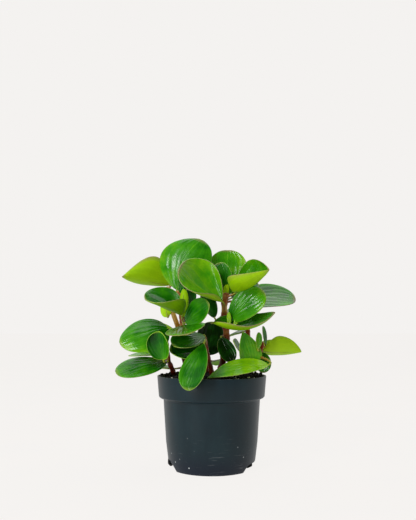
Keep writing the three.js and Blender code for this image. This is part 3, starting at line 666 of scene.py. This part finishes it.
class PEPEROMIA_OT_pot(bpy.types.Operator):
    """Turns the nursery pot and cuts the notches and drain holes in its foot"""
    bl_idname = "peperomia.make_pot"
    bl_label = "Make the Pot"

    def execute(self, context):
        pot = context.scene.peperomia_pot
        height, rim, foot = pot.height / MM, pot.rim_radius / MM, pot.foot_radius / MM
        ledge = height - RIM_DROP
        body_radius, body_top = BODY[-1]
        inside, band = foot - FOOT_THICKNESS, rim - RIM_TAPER
        profile = [(0, FOOT_HEIGHT), (inside, FOOT_HEIGHT), (inside, 0), (foot, 0)]
        profile += [(foot + 1, FOOT_HEIGHT / 2), *BODY, (body_radius + 0.3, body_top + LEDGE_ROUND)]
        profile += [(band - LEDGE_ROUND, ledge - LEDGE_ROUND), (band, ledge)]
        profile += [(rim, height), (rim - pot.wall / MM, height)]
        profile += reversed(inner_wall(pot, 0))
        bm = bmesh.new()
        turn_profile(bm, profile, pot.steps)
        # The wall's bends are rounded, and its long runs keep their straight taper
        bends = [edge for edge in bm.edges if self.is_bend(edge)]
        round_edges(bm, bends, BEND_ROUND, 3, clamp_overlap=True)
        plastic = new_material(moulded_polypropylene, pot)
        piece = piece_from(bm, "pot_shell", [plastic], ["pot"])
        cut(piece, self.notch_cutter())
        cut(piece, self.drain_cutter())
        piece.data.shade_smooth()
        piece.data.set_sharp_from_angle(angle=math.radians(SHARP_ANGLE))
        self.lugs()
        return {"FINISHED"}

    def is_bend(self, edge):
        """Whether the edge runs round the wall at a bend in it."""
        a, b = (vert.co for vert in edge.verts)
        level = abs(a.z - b.z) < 0.001 and abs(a.xy.length - b.xy.length) < 0.001
        return level and a.xy.length > BEND_RADIUS and edge.calc_face_angle(0) > math.radians(BEND_ANGLE)

    def lugs(self):
        """Short lugs in the notches, under the corner of the body, coloured near black as painted shade."""
        bm = bmesh.new()
        for turn, radius in LUGS:
            place = Matrix.Rotation(math.radians(turn), 4, "Z")
            place = place @ Matrix.Translation((radius, 0, FOOT_HEIGHT - LUG_DROP))
            bmesh.ops.create_cube(bm, size=1, matrix=place @ Matrix.Diagonal((*LUG_SIZE, 1)))
        round_edges(bm, bm.edges[:], LUG_ROUND, 3)
        piece_from(bm, "pot_lugs", [new_material(torn_polypropylene)], ["pot"])

    def notch_cutter(self):
        """The bar that cuts both notches."""
        foot = NOTCH_WIDTH / 2
        head = foot - NOTCH_NARROWING
        top = FOOT_HEIGHT - NOTCH_ROOF
        bm = bmesh.new()
        outline = [(-foot, -NOTCH_DEPTH), (foot, -NOTCH_DEPTH), (head, top), (-head, top)]
        face = bm.faces.new([bm.verts.new((x, -NOTCH_REACH, z)) for x, z in outline])
        grown = bmesh.ops.extrude_face_region(bm, geom=[face])["geom"]
        moved = [part for part in grown if isinstance(part, bmesh.types.BMVert)]
        bmesh.ops.translate(bm, vec=(0, 2 * NOTCH_REACH, 0), verts=moved)
        bmesh.ops.recalc_face_normals(bm, faces=bm.faces)
        long = [edge for edge in bm.edges if edge.calc_length() > NOTCH_REACH]
        round_edges(bm, [edge for edge in long if edge.verts[0].co.z > 0], NOTCH_ROUND, 6)
        bmesh.ops.rotate(bm, cent=(0, 0, 0), matrix=Matrix.Rotation(math.radians(90 + NOTCH_TURN), 3, "Z"),
                         verts=bm.verts)
        return object_from(bm, "notch_cutter")

    def drain_cutter(self):
        """The rods that cut the drain holes."""
        bm = bmesh.new()
        for i in range(DRAIN_HOLES):
            turn = 2 * math.pi * i / DRAIN_HOLES
            x, y = DRAIN_CIRCLE * math.cos(turn), DRAIN_CIRCLE * math.sin(turn)
            place = Matrix.Translation((x, y, FOOT_HEIGHT))
            bmesh.ops.create_cone(bm, cap_ends=True, segments=24, radius1=DRAIN_RADIUS, radius2=DRAIN_RADIUS,
                                  depth=2 * FOOT_HEIGHT, matrix=place)
        return object_from(bm, "drain_cutter")


class PEPEROMIA_OT_soil(bpy.types.Operator):
    """Fills the pot with lumpy peat, loose crumbs and perlite"""
    bl_idname = "peperomia.make_soil"
    bl_label = "Make the Soil"

    def execute(self, context):
        soil, pot = context.scene.peperomia_soil, context.scene.peperomia_pot
        drop = pot.height / MM - SOIL_EDGE
        edge = pot.rim_radius / MM - pot.wall / MM - GAP - RIM_TAPER * drop / RIM_DROP
        rings = [(edge * ring / SOIL_RINGS, SOIL_EDGE) for ring in range(SOIL_RINGS, -1, -1)]
        bm = bmesh.new()
        turn_profile(bm, inner_wall(pot, GAP) + rings, SOIL_STEPS)
        for vert in bm.verts:
            if vert.co.z > SOIL_EDGE - 0.01:
                lump = sum(noise.noise(vert.co * closeness) * height for closeness, height in LUMPS)
                lump *= min(1, (edge - vert.co.xy.length) / 3)
                vert.co.z = self.height(vert.co.x, vert.co.y, edge) + lump
        peat, perlite = new_material(damp_peat, soil), new_material(expanded_perlite)
        piece_from(bm, "soil_bed", [peat], ["soil"])
        draw = random.Random(soil.seed)
        self.scatter(draw, "soil_crumbs", soil.crumbs, soil.crumb_size / MM, edge, peat)
        self.scatter(draw, "soil_perlite", soil.perlite, soil.crumb_size / MM, edge, perlite)
        return {"FINISHED"}

    def height(self, x, y, edge):
        share = min(1, math.hypot(x, y) / edge)
        waves = math.sin(x / SHORT_WAVES[0]) * math.sin(y / SHORT_WAVES[1])
        waves += 0.6 * math.sin(x / LONG_WAVES[0] - y / LONG_WAVES[1])
        return SOIL_EDGE + (SOIL_CROWN + SOIL_LUMP * waves) * (1 - share ** 6)

    def scatter(self, draw, name, count, size, edge, material):
        """Crumbs lie thickest by the wall, heaped to the left, the right and the back."""
        bm = bmesh.new()
        for _ in range(count):
            turn = draw.uniform(-math.pi, math.pi)
            share = max(draw.random(), draw.random()) ** 0.6
            radius = size * draw.choice(CRUMB_SIZES)
            far = (edge - radius - 0.2) * share
            x, y = far * math.cos(turn), far * math.sin(turn)
            behind = max(0, (share - 0.75) * 4) * (0.5 + 0.5 * math.sin(turn))
            beside = max(0, (share - 0.8) * 5) * abs(math.cos(turn)) ** 8
            rise = self.height(x, y, edge) + radius * 0.3 + (behind + beside) * draw.uniform(0, 2.4)
            middle = Vector((x, y, rise))
            tilt = Euler([draw.uniform(0, 6.28) for _ in range(3)]).to_matrix().to_4x4()
            grain = bmesh.ops.create_icosphere(bm, subdivisions=1, radius=radius,
                                               matrix=Matrix.Translation(middle) @ tilt)["verts"]
            for vert in grain:
                vert.co = middle + (vert.co - middle) * draw.uniform(0.65, 1.3)
        piece_from(bm, name, [material], ["soil"])


def curve_through(points, steps=10):
    """A smooth centripetal line through the points."""
    known = [Vector(p) for p in points]
    known = [2 * known[0] - known[1], *known, 2 * known[-1] - known[-2]]
    line = []
    for p0, p1, p2, p3 in zip(known, known[1:], known[2:], known[3:]):
        d0, d1, d2 = (math.sqrt((b - a).length) for a, b in ((p0, p1), (p1, p2), (p2, p3)))
        t1 = ((p1 - p0) / d0 - (p2 - p0) / (d0 + d1) + (p2 - p1) / d1) * d1
        t2 = ((p2 - p1) / d1 - (p3 - p1) / (d1 + d2) + (p3 - p2) / d2) * d1
        for i in range(steps):
            t = i / steps
            bend = (2 * p1 - 2 * p2 + t1 + t2) * t ** 3 + (-3 * p1 + 3 * p2 - 2 * t1 - t2) * t ** 2
            line.append(bend + t1 * t + p1)
    return line + [known[-2]]


def length_of(line):
    return sum((b - a).length for a, b in zip(line, line[1:]))


def walk(line, step):
    """Points at even steps along a line, each with its distance from the start."""
    total = length_of(line)
    count = max(2, round(total / step))
    distances = [total * i / count for i in range(count + 1)]
    return [(place_on(line, distance)[0], distance) for distance in distances]


def place_on(line, distance):
    """The point at that distance along a line, and the way that the line goes there."""
    for a, b in zip(line, line[1:]):
        length = (b - a).length
        if distance <= length or b is line[-1]:
            return a.lerp(b, min(1, distance / length)), (b - a).normalized()
        distance -= length


def tube(bm, rings, sides, layers, material):
    """A closed tube through rings of (point, radius, node value), drawn out ring by ring."""
    turn, node = layers
    ahead = (rings[1][0] - rings[0][0]).normalized()
    across = ahead.orthogonal().normalized()
    verts = bmesh.ops.create_circle(bm, cap_ends=False, segments=sides, radius=1)["verts"]
    edges = list({e for v in verts for e in v.link_edges})
    for i, vert in enumerate(verts):
        vert[turn] = i
    first, faces = edges, set()
    for k, (point, radius, value) in enumerate(rings):
        after = rings[min(k + 1, len(rings) - 1)][0] - rings[max(k - 1, 0)][0]
        across = after.normalized().rotation_difference(ahead).inverted() @ across
        ahead = after.normalized()
        other = ahead.cross(across)
        if k:
            made = bmesh.ops.extrude_edge_only(bm, edges=edges)["geom"]
            verts = [g for g in made if isinstance(g, bmesh.types.BMVert)]
            known = set(verts)
            edges = [g for g in made if isinstance(g, bmesh.types.BMEdge) and known.issuperset(g.verts)]
            faces.update(f for v in verts for f in v.link_faces)
        for vert in verts:
            angle = 2 * math.pi * vert[turn] / sides
            vert.co = point + (across * math.cos(angle) + other * math.sin(angle)) * radius
            vert[node] = value
    for ends in (first, edges):
        faces.update(bmesh.ops.contextual_create(bm, geom=ends)["faces"])
    for face in faces:
        face.material_index = material


class PEPEROMIA_OT_stems(bpy.types.Operator):
    """Draws out the stems with their swollen nodes, and the stalk and midrib of each leaf"""
    bl_idname = "peperomia.make_stems"
    bl_label = "Make the Stems"

    def execute(self, context):
        plant = context.scene.peperomia_plant
        materials = [new_material(skin, plant) for skin in (fleshy_stem_skin, leaf_stalk_skin)]
        for name, shoot in SHOOTS.items():
            bm = bmesh.new()
            layers = bm.verts.layers.int.new("turn"), bm.verts.layers.float.new("node")
            above = curve_through(shoot.stem)
            self.stem(bm, shoot, above, layers)
            for leaf in shoot.leaves:
                self.stalk(bm, leaf, above, layers)
            bmesh.ops.recalc_face_normals(bm, faces=bm.faces)
            piece_from(bm, name.replace("shoot", "stems"), materials, [name])
        return {"FINISHED"}

    def stem(self, bm, shoot, above, layers):
        x, y, _ = shoot.stem[0]
        line = curve_through([(x, y, STEM_FOOT), (x, y, STEM_STRAIGHT), *shoot.stem])
        length, total = length_of(above), length_of(line)
        joints = [total - length * (1 - leaf.at) for leaf in shoot.leaves]
        joints += [total - length * share for share in BARE_NODES]
        low, high = shoot.radii
        rings = []
        for point, along in walk(line, STEM_STEP):
            closeness = max(math.exp(-((along - joint) / NODE_REACH) ** 2) for joint in joints)
            reddening = max(math.exp(-((along - joint) / RED_REACH) ** 2) for joint in joints)
            radius = (low + (high - low) * along / total) * (0.94 + NODE_SWELL * closeness)
            rings.append((point, radius, RED_SHARE * reddening))
        point, radius, value = rings[-1]
        tip = (point - rings[-2][0]).normalized()
        rings.append((point + tip * radius * 0.5, radius * 0.8, value))
        rings.append((point + tip * radius * 0.8, radius * 0.35, value))
        tube(bm, rings, 16, layers, 0)

    def stalk(self, bm, leaf, above, layers):
        foot, ahead = place_on(above, length_of(above) * leaf.at)
        out = leaf.base - foot
        leaving = (out.normalized() + ahead * PETIOLE_END).normalized()
        start = foot + leaving * (PETIOLE_START * out.length)
        arriving = leaf.base - leaf.along * (PETIOLE_END * out.length)
        radius = min(PETIOLE_RADIUS, leaf.width / 6)
        rings = []
        for i in range(9):
            t = i / 8
            point = (foot * (1 - t) ** 3 + start * (3 * t * (1 - t) ** 2)
                     + arriving * (3 * t * t * (1 - t)) + leaf.base * t ** 3)
            girth = radius * (PETIOLE_FOOT - (PETIOLE_FOOT - PETIOLE_THINNING) * t ** 0.7)
            rings.append((point, girth, (0.95 - t * 0.85) * (0.6 + 0.4 * leaf.edge)))
        for u in MIDRIB:
            girth = radius * PETIOLE_THINNING * (1 - u / 0.8)
            point = leaf.point(u, 0) - leaf.up * (0.25 + 0.1 * radius)
            rings.append((point, girth, 0.2 * (1 - u)))
        tube(bm, rings, 12, layers, 1)


class PEPEROMIA_OT_leaves(bpy.types.Operator):
    """Shapes every leaf blade with its cup, veins and waves"""
    bl_idname = "peperomia.make_leaves"
    bl_label = "Make the Leaves"

    def execute(self, context):
        plant = context.scene.peperomia_plant
        skins = (waxy_leaf_face, matt_leaf_underside, hard_leaf_margin)
        materials = [new_material(skin, plant) for skin in skins]
        for number, (name, shoot) in enumerate(SHOOTS.items()):
            bm = bmesh.new()
            for i, leaf in enumerate(shoot.leaves):
                self.blade(bm, leaf, 10.0 * number + 1.7 * i, plant)
            piece = piece_from(bm, name.replace("shoot", "leaves"), materials, [name])
            piece.vertex_groups.new(name="thickness")
            wall = piece.modifiers.new("Thickness", "SOLIDIFY")
            wall.thickness = plant.blade
            wall.offset = 0
            wall.vertex_group = "thickness"
            wall.material_offset = 1
            wall.material_offset_rim = 2
            smooth = piece.modifiers.new("Smooth", "SUBSURF")
            smooth.levels = smooth.render_levels = 1
        return {"FINISHED"}

    def blade(self, bm, leaf, seed, plant):
        uv = bm.loops.layers.uv.get("blade") or bm.loops.layers.uv.new("blade")
        tone = bm.verts.layers.float.get("tone") or bm.verts.layers.float.new("tone")
        edge = bm.verts.layers.float.get("edge") or bm.verts.layers.float.new("edge")
        deform = bm.verts.layers.deform.verify()
        rows, columns = next(grid for widest, *grid in BLADE_GRIDS if leaf.width <= widest)
        verts = bmesh.ops.create_grid(bm, x_segments=rows, y_segments=columns, size=1.0)["verts"]
        places = {}
        for vert in verts:
            t = BLADE_FIRST + (BLADE_LAST - BLADE_FIRST) * (vert.co.x + 1) / 2
            u, v = (1 - math.cos(math.pi * t)) / 2, vert.co.y
            places[vert] = u, v
            share = leaf.outline(u)
            size = min(1, leaf.width / FULL_WIDTH)
            swell = -math.cos(2 * math.pi * (abs(v) - VEIN_ARCH * u) / VEIN_STEP) * (1 - v * v) * share
            swell *= 0.3 + 2 * abs(noise.noise(Vector((3 * u, 2.2 * v, seed + 5))))
            groove = math.exp(-(v / 0.07) ** 2) * share * (1 - u)
            wave = noise.noise(Vector((2.4 * u, 1.4 * v, seed))) * share
            rise = (plant.vein_depth * (swell * 0.7 - groove) + plant.wave * wave) / MM * size
            vert.co = leaf.point(u, v) + leaf.normal(min(max(u, NUDGE), 1 - NUDGE), v) * rise
            # Painted light and shade: fade and lean run the tone along and across the blade
            vert[tone] = leaf.tone + leaf.fade * (u - 0.5) + leaf.lean * v / 2
            vert[edge] = leaf.edge
            vert[deform][0] = 0.55 + 0.45 * (1 - abs(v) ** 3)
        for face in {f for vert in verts for f in vert.link_faces}:
            for loop in face.loops:
                u, v = places[loop.vert]
                loop[uv].uv = (u, v / 2 + 0.5)


class PEPEROMIA_OT_stage(bpy.types.Operator):
    """Lays the pale floor, and sets the soft lights, the background and the camera"""
    bl_idname = "peperomia.make_stage"
    bl_label = "Make the Stage"

    def execute(self, context):
        stage = context.scene.peperomia_stage
        scene = context.scene
        bm = bmesh.new()
        bmesh.ops.create_circle(bm, cap_ends=True, segments=128, radius=stage.floor_radius)
        mesh = bpy.data.meshes.new("floor")
        bm.to_mesh(mesh)
        bm.free()
        mesh.materials.append(new_material(seamless_paper, stage))
        floor = bpy.data.objects.new("floor", mesh)
        scene.collection.objects.link(floor)
        for name, light in LIGHTS.items():
            self.softbox(f"{name}_light", *light, getattr(stage, name))
        self.background(scene, stage)
        camera = bpy.data.cameras.new("camera")
        camera.lens = CAMERA_LENS
        camera.sensor_width = 36.0
        camera.shift_x, camera.shift_y = CAMERA_SHIFT
        camera.clip_start = 0.01
        camera.clip_end = 50
        scene.camera = bpy.data.objects.new("camera", camera)
        scene.camera.location = CAMERA_PLACE
        scene.camera.rotation_euler = (math.pi / 2, 0, 0)
        scene.collection.objects.link(scene.camera)
        scene.view_settings.view_transform = "Standard"
        return {"FINISHED"}

    def softbox(self, name, place, target, size, power):
        light = bpy.data.lights.new(name, "AREA")
        light.shape = "RECTANGLE"
        light.size, light.size_y = size
        light.energy = power
        made = bpy.data.objects.new(name, light)
        made.location = place
        made.rotation_euler = (Vector(target) - Vector(place)).to_track_quat("-Z", "Y").to_euler()
        bpy.context.scene.collection.objects.link(made)

    def background(self, scene, stage):
        """The camera sees plain paper. The plant is lit by a room, bright behind it and dim in front."""
        world = bpy.data.worlds.new("studio")
        scene.world = world
        world.use_nodes = True
        tree = world.node_tree
        tree.nodes.clear()
        split = add(tree, "SeparateXYZ", [add(tree, "TexCoord").outputs["Generated"]])
        depth = add(tree, "MapRange", [split.outputs[1], -0.7, 0.5, 0.12, 1], interpolation_type="SMOOTHSTEP")
        strength = add(tree, "Math", [depth, stage.fill], operation="MULTIPLY")
        room = add(tree, "Background", [tuple(stage.paper), strength])
        paper = add(tree, "Background", [tuple(stage.paper), 1])
        camera_ray = add(tree, "LightPath").outputs["Is Camera Ray"]
        both = add(tree, "MixShader", [camera_ray, room, paper])
        add(tree, "OutputWorld", [both])


class PEPEROMIA_PT_panel(bpy.types.Panel):
    bl_idname = "PEPEROMIA_PT_panel"
    bl_label = "Potted Peperomia"
    bl_space_type = "VIEW_3D"
    bl_region_type = "UI"
    bl_category = "Peperomia"

    def draw(self, context):
        for settings, operator in (
            (context.scene.peperomia_pot, PEPEROMIA_OT_pot),
            (context.scene.peperomia_soil, PEPEROMIA_OT_soil),
            (context.scene.peperomia_plant, PEPEROMIA_OT_stems),
            (context.scene.peperomia_plant, PEPEROMIA_OT_leaves),
            (context.scene.peperomia_stage, PEPEROMIA_OT_stage),
        ):
            box = self.layout.box()
            box.operator(operator.bl_idname)
            if operator is not PEPEROMIA_OT_stems:
                for key in settings.__annotations__:
                    box.prop(settings, key)


SETTINGS = {"pot": PotSettings, "soil": SoilSettings, "plant": PlantSettings, "stage": StageSettings}
CLASSES = (
    *SETTINGS.values(), PEPEROMIA_OT_pot, PEPEROMIA_OT_soil, PEPEROMIA_OT_stems, PEPEROMIA_OT_leaves,
    PEPEROMIA_OT_stage, PEPEROMIA_PT_panel,
)


def register():
    for made in CLASSES:
        bpy.utils.register_class(made)
    for name, settings in SETTINGS.items():
        setattr(bpy.types.Scene, f"peperomia_{name}", PointerProperty(type=settings))


def unregister():
    for name in SETTINGS:
        delattr(bpy.types.Scene, f"peperomia_{name}")
    for made in reversed(CLASSES):
        bpy.utils.unregister_class(made)


def main():
    register()
    bpy.ops.peperomia.make_pot()
    bpy.ops.peperomia.make_soil()
    bpy.ops.peperomia.make_stems()
    bpy.ops.peperomia.make_leaves()
    bpy.ops.peperomia.make_stage()


if __name__ == "__main__":
    main()
